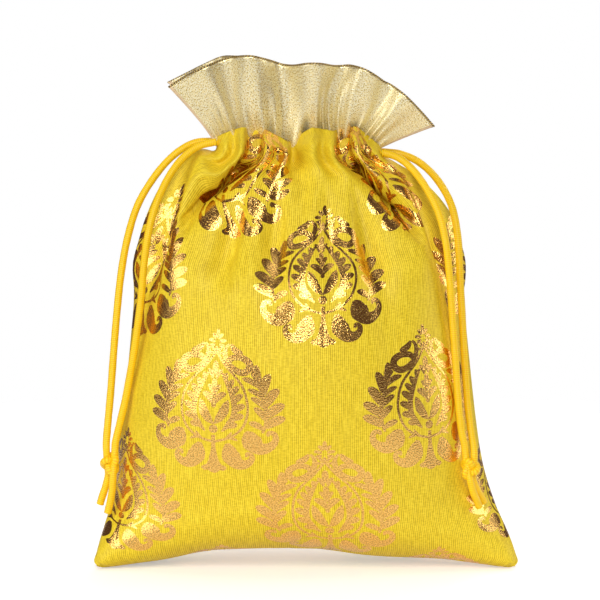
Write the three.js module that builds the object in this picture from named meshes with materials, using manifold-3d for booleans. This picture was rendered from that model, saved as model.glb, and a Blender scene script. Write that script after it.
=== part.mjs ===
// A potli bag: a filled drawstring pouch of printed cloth with a gathered neck, a gold frill and two cords.
// Millimetres, +Z up, the front of the bag faces -Y, the origin is on the table under the middle of the bag.

import * as THREE from "three";
import { mergeVertices } from "three/addons/utils/BufferGeometryUtils.js";
import Module from "manifold-3d";

const wasm = await Module();
wasm.setup();

// Driving sizes of the filled body.
const cornerSpan = 172;
const hipWidth = 158;
const bellyWidth = 145;
const waistWidth = 136;
const shoulderWidth = 132;
const throatWidth = 107;
const neckWidth = 72;
const bodyHeight = 164;
const underHeight = 25;
const hipDepth = 66;
const bellyDepth = 86;
const waistDepth = 88;
const shoulderDepth = 82;
const throatDepth = 62;
const clothThickness = 1.2;
const edgePinch = 1.15;

// The bag stands on its two bottom corners. Between them the bottom seam lifts off the table.
const archLift = 10;
const archHalfSpan = 60;
const archMiddle = -12;
const footSink = 4;

// The casing is the top of each panel turned down inside, with a tunnel for the two cords.
const casingHeight = 12;
const casingWidth = 68;
const casingPlay = 0.6;
const casingMiddleY = 9.3;
const casingEndY = 6;

// The frill stands on the casing and opens like a fan.
const frillFootWidth = 64;
const frillTopWidth = 108;
const frillHeight = 30;
const frillLeftDroop = 12;
const frillRightDroop = 27;
const frillTopMiddleY = 13;
const frillTopEndY = 3.5;
const fluteDepth = 2.2;
const fluteCount = 5;

// Cords, and the play between pieces that touch.
const cordDiameter = 3;
const cordLevelGap = 4.4;
const knotWidth = 7.6;
const knotHeight = 9.4;
const gap = 0.3;

// Through its thickness the casing holds one cord, its play and the cloth on both sides.
const casingThickness = cordDiameter + 2 * (casingPlay + clothThickness);

// Free cord stretches, chosen by hand: from the end of the casing down to the top of the knot.
const leftStrandFront = [
  [-34.9, -6, 172.2], [-41, -6.6, 170.4], [-47.5, -8.2, 165.2], [-53, -11.4, 157.2], [-57.4, -16.2, 147],
  [-60.2, -19.2, 136], [-61.9, -18.8, 124], [-63.1, -17.6, 111.5], [-65, -16.2, 97], [-67.3, -14.7, 83],
  [-69.8, -13, 70], [-72.4, -11.9, 59], [-74.1, -11.7, 52], [-74.5, -11.9, 47.6],
];
const leftStrandBack = [
  [-34.9, 6, 172.2], [-43, 6.2, 171.4], [-51.5, 5.4, 166], [-59, 4, 157.4], [-65.4, 1.4, 146.5],
  [-69.4, -1.9, 133.5], [-71.9, -4.2, 119.7], [-73.6, -6.4, 104], [-74.9, -8.4, 88], [-76.1, -10, 72],
  [-77.3, -11, 59], [-77.9, -11.6, 52], [-77.9, -11.9, 47.6],
];
const rightStrandFront = [
  [34.9, -6, 167.8], [40.5, -7, 165.8], [46.4, -9.8, 160.6], [51.6, -16, 153], [55.8, -20.2, 144],
  [58.6, -22, 132], [60.3, -21, 116], [61.5, -20.5, 100], [62.7, -20.7, 84], [63.9, -20.7, 68],
  [65.2, -20.8, 57], [66.5, -21, 51], [66.9, -21.1, 47.2],
];
const rightStrandBack = [
  [34.9, 6, 167.8], [41.5, 5.4, 167], [49, 2.4, 163.6], [56, -3.5, 156.8], [61.2, -11.5, 147],
  [63.6, -15.4, 134], [64.6, -16.2, 116], [65.6, -16, 100], [66.6, -16.2, 84], [67.8, -16.9, 68],
  [69.1, -18.4, 57], [70.1, -20, 51], [70.3, -21.1, 47.2],
];

// Knots and tails, chosen by hand: the middle of each knot, then the tails below it.
const leftKnotMiddle = [-76.2, -11.9, 42.6];
const rightKnotMiddle = [68.6, -21.1, 42.2];
const leftTailFront = [[-75.2, -13.7, 37.4], [-75.6, -13.2, 32], [-76.6, -12.6, 26.5], [-77.6, -12.2, 22.4]];
const leftTailBack = [[-77.3, -10.3, 37.9], [-78.6, -9.4, 32.6], [-80, -8.8, 28.4], [-80.9, -8.4, 25.4]];
const rightTailFront = [[68.8, -22.9, 37], [70, -21.6, 32.6], [71.6, -19.6, 28.8], [72.6, -18.2, 26]];
const rightTailBack = [[70, -19.5, 37.7], [71.8, -17.6, 33], [73.7, -15.4, 29.6], [74.9, -14, 27.2]];

// Shared helpers.

function toSolid(geometry) {
  const bare = geometry.clone();
  bare.deleteAttribute("normal");
  bare.deleteAttribute("uv");
  const merged = mergeVertices(bare, 1e-4);
  const mesh = new wasm.Mesh({
    numProp: 3,
    vertProperties: new Float32Array(merged.attributes.position.array),
    triVerts: new Uint32Array(merged.index.array),
  });
  return new wasm.Manifold(mesh);
}

function fromSolid(solid) {
  const mesh = solid.getMesh();
  const geometry = new THREE.BufferGeometry();
  geometry.setAttribute("position", new THREE.BufferAttribute(new Float32Array(mesh.vertProperties), 3));
  geometry.setIndex(new THREE.BufferAttribute(new Uint32Array(mesh.triVerts), 1));
  return geometry;
}

function gridIndex(columns, column, row) {
  return row * (columns + 1) + column;
}

// A closed sheet between an outer and an inner surface, both given as functions of across (-1 to 1) and up
// (0 to 1). The flip turns the faces round for a sheet on the other side of the bag.
function sheetGeometry(outer, inner, columns, rows, flip) {
  const positions = [];
  for (const surface of [outer, inner]) {
    for (let row = 0; row <= rows; row += 1) {
      for (let column = 0; column <= columns; column += 1) {
        positions.push(...surface(-1 + (2 * column) / columns, row / rows));
      }
    }
  }
  const layer = (columns + 1) * (rows + 1);
  const faces = [];
  const quad = (a, b, c, d) => {
    if (flip) {
      faces.push(a, c, b, a, d, c);
    } else {
      faces.push(a, b, c, a, c, d);
    }
  };
  for (let row = 0; row < rows; row += 1) {
    for (let column = 0; column < columns; column += 1) {
      const a = gridIndex(columns, column, row);
      const b = gridIndex(columns, column + 1, row);
      const c = gridIndex(columns, column + 1, row + 1);
      const d = gridIndex(columns, column, row + 1);
      quad(a, b, c, d);
      quad(layer + a, layer + d, layer + c, layer + b);
    }
  }
  for (let column = 0; column < columns; column += 1) {
    const low = gridIndex(columns, column, 0);
    const high = gridIndex(columns, column, rows);
    quad(low, layer + low, layer + low + 1, low + 1);
    quad(high, high + 1, layer + high + 1, layer + high);
  }
  for (let row = 0; row < rows; row += 1) {
    const left = gridIndex(columns, 0, row);
    const right = gridIndex(columns, columns, row);
    const next = columns + 1;
    quad(left, left + next, layer + left + next, layer + left);
    quad(right, layer + right, layer + right + next, right + next);
  }
  const geometry = new THREE.BufferGeometry();
  geometry.setAttribute("position", new THREE.Float32BufferAttribute(positions, 3));
  geometry.setIndex(faces);
  return geometry;
}

function tubeGeometry(points, diameter, steps) {
  const path = new THREE.CatmullRomCurve3(points.map((point) => new THREE.Vector3(...point)));
  const section = new THREE.Shape();
  const sides = 8;
  for (let side = 0; side < sides; side += 1) {
    const angle = (side * 2 * Math.PI) / sides;
    const x = (diameter / 2) * Math.cos(angle);
    const y = (diameter / 2) * Math.sin(angle);
    if (side === 0) {
      section.moveTo(x, y);
    } else {
      section.lineTo(x, y);
    }
  }
  section.closePath();
  return new THREE.ExtrudeGeometry(section, { extrudePath: path, steps, bevelEnabled: false });
}

// The filled body.

const wallStations = new THREE.CatmullRomCurve3([
  new THREE.Vector3(underHeight, hipWidth / 2, hipDepth / 2),
  new THREE.Vector3(0.4 * bodyHeight, bellyWidth / 2, bellyDepth / 2),
  new THREE.Vector3(0.65 * bodyHeight, waistWidth / 2, waistDepth / 2),
  new THREE.Vector3(0.85 * bodyHeight, shoulderWidth / 2, shoulderDepth / 2),
  new THREE.Vector3(0.95 * bodyHeight, throatWidth / 2, throatDepth / 2),
  new THREE.Vector3(bodyHeight + clothThickness / 2, neckWidth / 2, casingMiddleY),
]);
const underShare = 0.32;

function bodyPoint(side, across, up, inset) {
  const angle = (across * Math.PI) / 2;
  const turn = (Math.min(up / underShare, 1) * Math.PI) / 2;
  const rise = Math.max((up - underShare) / (1 - underShare), 0);
  const station = wallStations.getPoint(rise);
  const wrap = Math.cos(turn);
  const halfWidth = station.y + (cornerSpan / 2 - station.y) * wrap - inset;
  const halfDepth = (station.z - inset) * Math.sin(turn);
  const x = halfWidth * Math.sin(angle);
  const y = side * (gap / 2 + halfDepth * Math.max(Math.cos(angle), 0) ** edgePinch);
  const away = Math.min(Math.abs(x - archMiddle) / archHalfSpan, 1);
  const arch = archLift * (1 - away * away * (3 - 2 * away)) * (1 - rise) ** 2;
  const settle = footSink * (1 - across ** 6) * (1 - rise) ** 2;
  const height = station.x - underHeight * wrap + arch - settle + inset * wrap;
  return [x, y, Math.max(height, inset * wrap)];
}

// The casing.

const casingBottom = bodyHeight;
const casingTop = bodyHeight + casingHeight;
const casingHalf = casingWidth / 2;

function casingMiddle(x) {
  return casingEndY + (casingMiddleY - casingEndY) * (1 - (x / casingHalf) ** 2);
}

function casingBar(side, thickness, halfLength, bottom, top) {
  const shape = new THREE.Shape();
  const columns = 14;
  for (let column = 0; column <= columns; column += 1) {
    const x = -halfLength + (2 * halfLength * column) / columns;
    const y = side * (casingMiddle(x) + thickness / 2);
    if (column === 0) {
      shape.moveTo(x, y);
    } else {
      shape.lineTo(x, y);
    }
  }
  for (let column = columns; column >= 0; column -= 1) {
    const x = -halfLength + (2 * halfLength * column) / columns;
    shape.lineTo(x, side * (casingMiddle(x) - thickness / 2));
  }
  shape.closePath();
  const geometry = new THREE.ExtrudeGeometry(shape, { depth: top - bottom, bevelEnabled: false });
  geometry.translate(0, 0, bottom);
  return toSolid(geometry);
}

function panelGeometry(side) {
  const outer = (across, up) => bodyPoint(side, across, up, 0);
  const inner = (across, up) => bodyPoint(side, across, up, clothThickness);
  const body = toSolid(sheetGeometry(outer, inner, 28, 20, side > 0));
  const wall = 2 * clothThickness;
  const bar = casingBar(side, casingThickness, casingHalf, casingBottom, casingTop);
  const tunnelBottom = casingBottom + clothThickness;
  const tunnelTop = casingTop - clothThickness;
  const tunnel = casingBar(side, casingThickness - wall, casingHalf + 1, tunnelBottom, tunnelTop);
  return fromSolid(body.add(bar).subtract(tunnel));
}

// The frill.

function frillPoint(side, across, up, inset) {
  const footX = (across * frillFootWidth) / 2;
  const topX = (across * frillTopWidth) / 2;
  const footY = casingMiddle(footX) + clothThickness / 2;
  const topY = frillTopEndY + (frillTopMiddleY - frillTopEndY) * (1 - across * across);
  const flute = fluteDepth * Math.cos(fluteCount * Math.PI * across) * (1 - across * across);
  const droop = across < 0 ? frillLeftDroop : frillRightDroop;
  const x = footX + (topX - footX) * up;
  const y = footY + (topY - footY + flute) * up - inset;
  const z = casingTop + gap + (frillHeight - gap - droop * across * across) * up;
  return [x, side * y, z];
}

function frillGeometry(side) {
  const outer = (across, up) => frillPoint(side, across, up, 0);
  const inner = (across, up) => frillPoint(side, across, up, clothThickness);
  return sheetGeometry(outer, inner, 40, 5, side > 0);
}

// The cords.

// The run of one cord through both casings, with its turn at the side away from its free ends.
function cordRunGeometry(exit, level) {
  const points = [];
  const lead = 1.5;
  const columns = 6;
  for (let column = 0; column <= columns; column += 1) {
    const x = exit * (casingHalf - (2 * casingHalf * column) / columns);
    points.push([x, -casingMiddle(x), level]);
  }
  const turnX = -exit * (casingHalf + lead);
  for (const degrees of [-72, -36, 0, 36, 72]) {
    const angle = (degrees * Math.PI) / 180;
    points.push([turnX - exit * casingEndY * Math.cos(angle), casingEndY * Math.sin(angle), level]);
  }
  for (let column = columns; column >= 0; column -= 1) {
    const x = exit * (casingHalf - (2 * casingHalf * column) / columns);
    points.push([x, casingMiddle(x), level]);
  }
  return tubeGeometry(points, cordDiameter, 44);
}

function strandGeometry(points) {
  return tubeGeometry(points, cordDiameter, 26);
}

function tailGeometry(points) {
  return tubeGeometry(points, cordDiameter, 4);
}

function knotGeometry(middle) {
  const profile = [];
  const rings = 8;
  for (let ring = 0; ring <= rings; ring += 1) {
    const angle = (ring * Math.PI) / rings - Math.PI / 2;
    const radius = ring === 0 || ring === rings ? 0 : (knotWidth / 2) * Math.cos(angle);
    profile.push(new THREE.Vector2(radius, (knotHeight / 2) * Math.sin(angle)));
  }
  const geometry = new THREE.LatheGeometry(profile, 12);
  geometry.rotateX(Math.PI / 2);
  geometry.translate(...middle);
  return geometry;
}

// Materials and nodes.

const printedCloth = { color: 0xe6c62c, roughness: 0.6, metalness: 0 };
const lameCloth = { color: 0xcdb56e, roughness: 0.4, metalness: 0.6 };
const satinCord = { color: 0xf6ad18, roughness: 0.4, metalness: 0 };
const group = new THREE.Group();

function addNode(name, geometry, finish) {
  const mesh = new THREE.Mesh(geometry, new THREE.MeshStandardMaterial(finish));
  mesh.name = name;
  group.add(mesh);
}

const upperLevel = casingBottom + (casingHeight + cordLevelGap) / 2;
const lowerLevel = casingBottom + (casingHeight - cordLevelGap) / 2;

addNode("front_panel", panelGeometry(-1), printedCloth);
addNode("back_panel", panelGeometry(1), printedCloth);
addNode("front_frill", frillGeometry(-1), lameCloth);
addNode("back_frill", frillGeometry(1), lameCloth);
addNode("left_cord_run", cordRunGeometry(-1, upperLevel), satinCord);
addNode("right_cord_run", cordRunGeometry(1, lowerLevel), satinCord);
addNode("left_strand_front", strandGeometry(leftStrandFront), satinCord);
addNode("left_strand_back", strandGeometry(leftStrandBack), satinCord);
addNode("right_strand_front", strandGeometry(rightStrandFront), satinCord);
addNode("right_strand_back", strandGeometry(rightStrandBack), satinCord);
addNode("left_knot", knotGeometry(leftKnotMiddle), satinCord);
addNode("right_knot", knotGeometry(rightKnotMiddle), satinCord);
addNode("left_tail_front", tailGeometry(leftTailFront), satinCord);
addNode("left_tail_back", tailGeometry(leftTailBack), satinCord);
addNode("right_tail_front", tailGeometry(rightTailFront), satinCord);
addNode("right_tail_back", tailGeometry(rightTailBack), satinCord);

export default group;
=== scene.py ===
# %% [markdown]
# A potli bag.
# The bag is a small drawstring pouch: two rectangles of foil-printed yellow cloth sewn together on three
# sides, a frill of gold cloth along the top and two satin cords through a gathered casing. It is soft all
# over, so it could be sculpted by hand. Here the filled body and the frill are drawn to the photograph,
# and the cloth is cut flat, laid in its gathers and let go in a simulation, which gives the neck its
# folds.

# %% Load the frame
import bpy
import math
import numpy as np
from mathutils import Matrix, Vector, geometry


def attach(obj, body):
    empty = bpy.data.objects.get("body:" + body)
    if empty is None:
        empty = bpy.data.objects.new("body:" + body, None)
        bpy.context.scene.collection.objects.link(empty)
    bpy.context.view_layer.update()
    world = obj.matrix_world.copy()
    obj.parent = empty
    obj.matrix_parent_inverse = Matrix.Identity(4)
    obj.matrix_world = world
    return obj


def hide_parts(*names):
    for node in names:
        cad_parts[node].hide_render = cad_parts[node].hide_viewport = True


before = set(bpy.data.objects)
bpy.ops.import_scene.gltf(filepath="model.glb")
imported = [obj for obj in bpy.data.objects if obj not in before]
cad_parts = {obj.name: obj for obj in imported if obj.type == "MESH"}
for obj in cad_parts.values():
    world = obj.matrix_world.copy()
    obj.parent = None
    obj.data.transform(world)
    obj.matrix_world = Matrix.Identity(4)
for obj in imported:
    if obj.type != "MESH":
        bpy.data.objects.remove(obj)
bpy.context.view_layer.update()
MM = 0.001

# %% [markdown]
# The camera comes first. The photograph looks almost straight at the front, from a little above the table,
# and its weak perspective means a long lens from a metre away. The picture is about 241 mm wide at the
# bag. An orthographic camera would come close, but the floor and the foot of the bag show a little
# perspective.

# %% Place the camera
view_target = Vector((0.0004, -0.012, 0.1092))
view_distance = 1.1
view_height = math.radians(6)
view_width = 0.2413
camera_data = bpy.data.cameras.new("photo_camera")
camera_data.sensor_width = 36
camera_data.lens = camera_data.sensor_width * view_distance / view_width
camera = bpy.data.objects.new("photo_camera", camera_data)
bpy.context.collection.objects.link(camera)
camera.location = view_target + view_distance * Vector((0, -math.cos(view_height), math.sin(view_height)))
camera.rotation_euler = (view_target - camera.location).to_track_quat("-Z", "Y").to_euler()
bpy.context.scene.camera = camera
print("camera at", [round(value, 3) for value in camera.location], "lens", round(camera_data.lens, 1))

# %% Curves through chosen points
def smooth_path(points, steps):
    """Points on a Catmull-Rom curve through the given points, with so many steps in each span."""
    given = np.asarray(points, float)
    ends = np.vstack([2 * given[0] - given[1], given, 2 * given[-1] - given[-2]])
    share = np.arange(steps)[:, None] / steps
    spans = []
    for before, start, stop, after in zip(ends, ends[1:], ends[2:], ends[3:]):
        bend = 2 * before - 5 * start + 4 * stop - after
        twist = -before + 3 * start - 3 * stop + after
        spans.append(0.5 * (2 * start + (stop - before) * share + bend * share ** 2 + twist * share ** 3))
    return np.vstack(spans + [given[-1:]])


def run_lengths(path):
    """How far along the path each of its points lies."""
    return np.concatenate([[0], np.cumsum(np.linalg.norm(np.diff(path, axis=0), axis=1))])


print("a line from (0, 0) to (3, 4) measures", run_lengths(smooth_path([(0, 0), (3, 4)], 2))[-1])

# %% [markdown]
# The cords. Each satin cord runs once round the neck inside the casing and comes out at one side, where
# its two ends hang down together into one knot. A curve with a round bevel would do, but a tube made ring
# by ring keeps its length in a UV map, which the cord's fine cross ribs need. The routes are those of the
# CAD part.

# %% A tube along a path
def mesh_piece(name, points, faces, uv):
    """A new mesh piece with one UV pair for each face corner, shaded smooth."""
    mesh = bpy.data.meshes.new(name)
    mesh.from_pydata(np.asarray(points).tolist(), [], faces)
    layer = mesh.uv_layers.new(name="flat")
    layer.data.foreach_set("uv", np.asarray(uv, np.float32).ravel())
    mesh.polygons.foreach_set("use_smooth", np.ones(len(mesh.polygons), bool))
    piece = bpy.data.objects.new(name, mesh)
    bpy.context.collection.objects.link(piece)
    return piece


tube_uv_unit = 10 * MM
tip_share = 0.12


def tube(name, path, diameter, sides=14, closed=False, wobble=0.0):
    """A round tube with blunt pointed ends. In its UV map u goes round it and v along it."""
    path = np.asarray(path, float)
    count = len(path)
    along = np.roll(path, -1, axis=0) - np.roll(path, 1, axis=0)
    if not closed:
        along[0] = path[1] - path[0]
        along[-1] = path[-1] - path[-2]
    along /= np.linalg.norm(along, axis=1)[:, None]
    first = np.cross(along[0], [0.3, 1, 0.2])
    frames = [first / np.linalg.norm(first)]
    for tangent in along[1:]:
        carried = frames[-1] - tangent * np.dot(frames[-1], tangent)
        frames.append(carried / np.linalg.norm(carried))
    normal = np.array(frames)
    other = np.cross(along, normal)
    length = run_lengths(path)
    swell = 1 + wobble * np.sin(length / MM * 0.83) * np.sin(length / MM * 0.37 + 1)
    angle = np.arange(sides) / sides * 2 * math.pi
    cosine, sine = np.cos(angle)[None, :, None], np.sin(angle)[None, :, None]
    ring = cosine * normal[:, None, :] + sine * other[:, None, :]
    points = path[:, None, :] + ring * (diameter / 2 * swell)[:, None, None]
    points = points.reshape(-1, 3)
    faces = []
    uv = []
    for step in range(count if closed else count - 1):
        following = (step + 1) % count
        far = length[step + 1] if step + 1 < count else length[-1] + 0.5 * MM
        for side in range(sides):
            turned = (side + 1) % sides
            here, there = step * sides, following * sides
            faces.append((here + side, here + turned, there + turned, there + side))
            near_v, far_v = length[step] / tube_uv_unit, far / tube_uv_unit
            left_u, right_u = side / sides, (side + 1) / sides
            uv += [(left_u, near_v), (right_u, near_v), (right_u, far_v), (left_u, far_v)]
    if not closed:
        for step, sign in ((0, -1), (count - 1, 1)):
            tip = len(points)
            points = np.vstack([points, path[step] + sign * along[step] * diameter * tip_share])
            end_v = length[step] / tube_uv_unit
            for side in range(sides):
                pair = (step * sides + side, step * sides + (side + 1) % sides)
                faces.append((*pair, tip) if sign > 0 else (*pair[::-1], tip))
                uv += [(0.1, end_v), (0.2, end_v), (0.15, end_v)]
    return mesh_piece(name, points, faces, uv)

# %% Routes of the cords
cord_diameter = 3 * MM
left_knot_middle = np.array([-76.2, -11.9, 42.6])
right_knot_middle = np.array([68.6, -21.1, 42.2])
routes = {
    "left_front_cord": [
        [-33.4, -6, 172.3], [-34.9, -6, 172.2], [-41, -6.6, 170.4], [-47.5, -8.2, 165.2],
        [-53, -11.4, 157.2], [-57.4, -16.2, 147], [-60.2, -19.2, 136], [-61.9, -18.8, 124],
        [-63.1, -17.6, 111.5], [-65, -16.2, 97], [-67.3, -14.7, 83], [-69.8, -13, 70], [-72.4, -11.9, 59],
        [-74.1, -11.7, 52], [-74.5, -11.9, 47.6], [-74.9, -12.8, 42.4], [-75.2, -13.7, 37.4],
        [-75.6, -13.2, 32], [-76.6, -12.6, 26.5], [-77.6, -12.2, 22.4],
    ],
    "left_back_cord": [
        [-33.4, 6, 172.3], [-34.9, 6, 172.2], [-43, 6.2, 171.4], [-51.5, 5.4, 166], [-59, 4, 157.4],
        [-65.4, 1.4, 146.5], [-69.4, -1.9, 133.5], [-71.9, -4.2, 119.7], [-73.6, -6.4, 104],
        [-74.9, -8.4, 88], [-76.1, -10, 72], [-77.3, -11, 59], [-77.9, -11.6, 52], [-77.9, -11.9, 47.6],
        [-77.6, -11.1, 42.6], [-77.3, -10.3, 37.9], [-78.6, -9.4, 32.6], [-80, -8.8, 28.4],
        [-80.9, -8.4, 25.4],
    ],
    "right_front_cord": [
        [33.4, -6, 167.9], [34.9, -6, 167.8], [40.5, -7, 165.8], [46.4, -9.8, 160.6], [51.6, -16, 153],
        [55.8, -20.2, 144], [58.6, -22, 132], [60.3, -21, 116], [61.5, -20.5, 100], [62.7, -20.7, 84],
        [63.9, -20.7, 68], [65.2, -20.8, 57], [66.5, -21, 51], [66.9, -21.1, 47.2],
        [67.8, -22, 42], [68.8, -22.9, 37], [70, -21.6, 32.6], [71.6, -19.6, 28.8], [72.6, -18.2, 26],
    ],
    "right_back_cord": [
        [33.4, 6, 167.9], [34.9, 6, 167.8], [41.5, 5.4, 167], [49, 2.4, 163.6], [56, -3.5, 156.8],
        [61.2, -11.5, 147], [63.6, -15.4, 134], [64.6, -16.2, 116], [65.6, -16, 100], [66.6, -16.2, 84],
        [67.8, -16.9, 68], [69.1, -18.4, 57], [70.1, -20, 51], [70.3, -21.1, 47.2],
        [70.2, -20.3, 42.4], [70, -19.5, 37.7], [71.8, -17.6, 33], [73.7, -15.4, 29.6], [74.9, -14, 27.2],
    ],
}
cords = {}
for name, points in routes.items():
    path = smooth_path(np.array(points) * MM, 8)
    cords[name] = tube(name, path, cord_diameter, wobble=0.03)
    print(name, round(run_lengths(path)[-1] * 1000), "mm long")

# %% [markdown]
# Each knot is an overhand knot of the two ends pulled tight. It could be tied in a simulation, but a
# trefoil curve squeezed to the knot's size lies just like it. The stretches inside the casing are tubes
# too, with a turn at the side away from the knot.

# %% Knots and casing runs
knot_diameter = 2.9 * MM
knot_steps = 96


def knot(name, middle, spin):
    """A tight trefoil of cord round its middle, turned by spin in the plane of the front."""
    turn_angle = np.arange(knot_steps) / knot_steps * 2 * math.pi
    x = np.sin(turn_angle) + 2 * np.sin(2 * turn_angle)
    z = np.cos(turn_angle) - 2 * np.cos(2 * turn_angle)
    y = -np.sin(3 * turn_angle)
    lean_x = x * math.cos(spin) - z * math.sin(spin)
    lean_z = x * math.sin(spin) + z * math.cos(spin)
    path = (np.column_stack([lean_x * 0.98, y * 1.55, lean_z * 1.22]) + middle) * MM
    return tube(name, path, knot_diameter, closed=True)


def casing_run(name, exit_side, level):
    """The stretch of one cord inside the casing, along the front and round to the back."""
    half, turn_half, end_depth, middle_depth, sag_depth = 33, 27, 4.2, 2.6, 2.2
    places = exit_side * np.linspace(half, -turn_half, 9)
    bow = end_depth + (middle_depth - end_depth) * (1 - (places / half) ** 2)
    sag = level - sag_depth * (1 - (places / half) ** 2)
    front_run = np.column_stack([places, -bow, sag])
    back_run = np.column_stack([places, bow, sag])[::-1]
    turn_angle = np.radians([-72, -36, 0, 36, 72])
    round_x = -exit_side * (turn_half - 1 + end_depth * np.cos(turn_angle))
    loop = np.column_stack([round_x, end_depth * np.sin(turn_angle), np.full(5, sag[-1])])
    return tube(name, smooth_path(np.vstack([front_run, loop, back_run]) * MM, 6), cord_diameter)


left_knot = knot("left_cord_knot", left_knot_middle, 0.5)
right_knot = knot("right_cord_knot", right_knot_middle, -0.4)
left_run = casing_run("left_casing_run", -1, 172.2)
right_run = casing_run("right_casing_run", 1, 167.8)
print("knots and runs made:", left_knot.name, right_knot.name, left_run.name, right_run.name)

# %% [markdown]
# The neck is where the cloth is drawn together. Seen from above, each panel's top edge runs in folds from
# one side seam to the other. These are the folds of the photograph, left to right: two deep pleats with
# small gathers between and beside them. Points marked deep go on far below the casing; the others soon
# smooth out. An even ruffle would be shorter to write, but it wouldn't be this neck.

# %% Lay out the gathers
cut_width = 178 * MM
fold_steps = 24
front_folds = [
    (-35.5, 0, True), (-34.5, 5, False), (-31, 9, False), (-27.5, 6.5, False), (-24, 15.5, True),
    (-20.5, -2, True), (-17.5, -2, True), (-14, 16.5, True), (-9, 11, False), (-4.8, 16, False),
    (-2.5, 4.5, False), (5.5, 16.5, False), (10, 11.5, False), (14.5, 16.5, True), (17.5, -2, True),
    (20, -2, True), (23.5, 15.5, True), (28, 7.5, False), (32, 9.5, False), (34.5, 5, False), (35.5, 0, True),
]
back_folds = [
    (-35.5, 0, True), (-33, 8, False), (-28, 5, False), (-23, 15, True), (-17.5, 4, True), (-12, 16, True),
    (-6.5, 7, False), (0, 16.5, True), (6, 7, False), (11.5, 16, True), (17, 4, True), (23, 15, True),
    (28, 5, False), (33, 8, False), (35.5, 0, True),
]


def fold_curve(folds, deep_only):
    """The neck's plan as shares along the cloth (0 to 1) with the x and depth found there."""
    points = np.array([fold[:2] for fold in folds]) * MM
    path = smooth_path(points, fold_steps)
    lengths = run_lengths(path)
    share = lengths / lengths[-1]
    if not deep_only:
        return share, path[:, 0], path[:, 1]
    kept = [index for index, fold in enumerate(folds) if fold[2]]
    plain = smooth_path(points[kept], fold_steps)
    kept_share = share[[fold_steps * index for index in kept]]
    plain_share = np.interp(np.arange(len(plain)) / fold_steps, np.arange(len(kept)), kept_share)
    return plain_share, plain[:, 0], plain[:, 1]


for name, folds in (("front", front_folds), ("back", back_folds)):
    path = smooth_path(np.array([fold[:2] for fold in folds]), fold_steps)
    neck_width = folds[-1][0] - folds[0][0]
    print(name, "neck folds run", round(run_lengths(path)[-1]), "mm of cloth in", neck_width, "mm of width")

# %% [markdown]
# The filled body is first drawn as a smooth pillow from a few stations: height, half width and half depth.
# The bottom is a rounded turn up from the seam, lifted between the two corners that the bag stands on.
# Blowing up two flat sheets would find a shape by itself, but not the one that the photograph shows.

# %% Draw the filled shape
station_height = np.array([25, 65.6, 106.6, 139.4, 155.8, 164, 176]) * MM
station_width = np.array([79, 72.5, 68, 66, 53.5, 37.5, 34]) * MM
station_depth = np.array([33, 43, 44, 41, 31, 15, 11]) * MM
turn_height = 25 * MM
corner_half = 86 * MM
neck_height = 164 * MM
casing_height = 12 * MM


def through_stations(heights, values, at):
    """A smooth curve through the values given at the heights."""
    slopes = np.gradient(values, heights)
    at = np.clip(at, heights[0], heights[-1])
    span = np.clip(np.searchsorted(heights, at) - 1, 0, len(heights) - 2)
    step = heights[span + 1] - heights[span]
    t = (at - heights[span]) / step
    rise = (2 * t ** 3 - 3 * t ** 2 + 1) * values[span] + (3 * t ** 2 - 2 * t ** 3) * values[span + 1]
    lean = (t ** 3 - 2 * t ** 2 + t) * slopes[span] + (t ** 3 - t ** 2) * slopes[span + 1]
    return rise + lean * step


def ease(low, high, value):
    """0 below low, 1 above high and a soft step between."""
    t = np.clip((value - low) / (high - low), 0, 1)
    return t * t * (3 - 2 * t)


turn_samples, wall_samples = 60, 299
turn = np.concatenate([np.linspace(0, math.pi / 2, turn_samples), np.full(wall_samples, math.pi / 2)])
turn_up = turn_height * (1 - np.cos(turn[:turn_samples]))
wall_up = np.linspace(turn_height, station_height[-1], wall_samples + 1)[1:]
height = np.concatenate([turn_up, wall_up])
depth = through_stations(station_height, station_depth, height) * np.sin(turn)
middle_run = run_lengths(np.column_stack([depth, height]))
cut_height = middle_run[-1]
print("panel cut to", round(cut_width * 1000), "by", round(cut_height * 1000), "mm up to the frill")

# %% Lay the panels in their gathers
columns, rows = 110, 124
across = np.linspace(-1, 1, columns + 1)[None, :]
row_run = np.linspace(0, cut_height, rows + 1)
row_turn = np.interp(row_run, middle_run, turn)[:, None]
row_height = np.interp(row_run, middle_run, height)[:, None]


def casing_lift(x):
    """How far the casing's top edge rises or sags along the neck."""
    places = np.array([-36, -30, -23, -13, -4, 5, 14, 23, 29, 36]) * MM
    return np.interp(x, places, np.array([-3, 0, 2.5, 1.5, -3.5, 2.5, 1, 3, -2, -8]) * MM)


def foot_lift(x):
    """How far the bottom edge stands off the table between the two corners."""
    places = np.array([-86, -70, -56, -42, -26, 8, 24, 40, 56, 71, 86]) * MM
    lifts = np.array([0, 1.2, 3, 5.6, 6.8, 6.6, 4.4, 3.4, 2.8, 1.2, 0]) * MM
    return through_stations(places, lifts, x)


neck_half = 36.5 * MM


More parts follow.
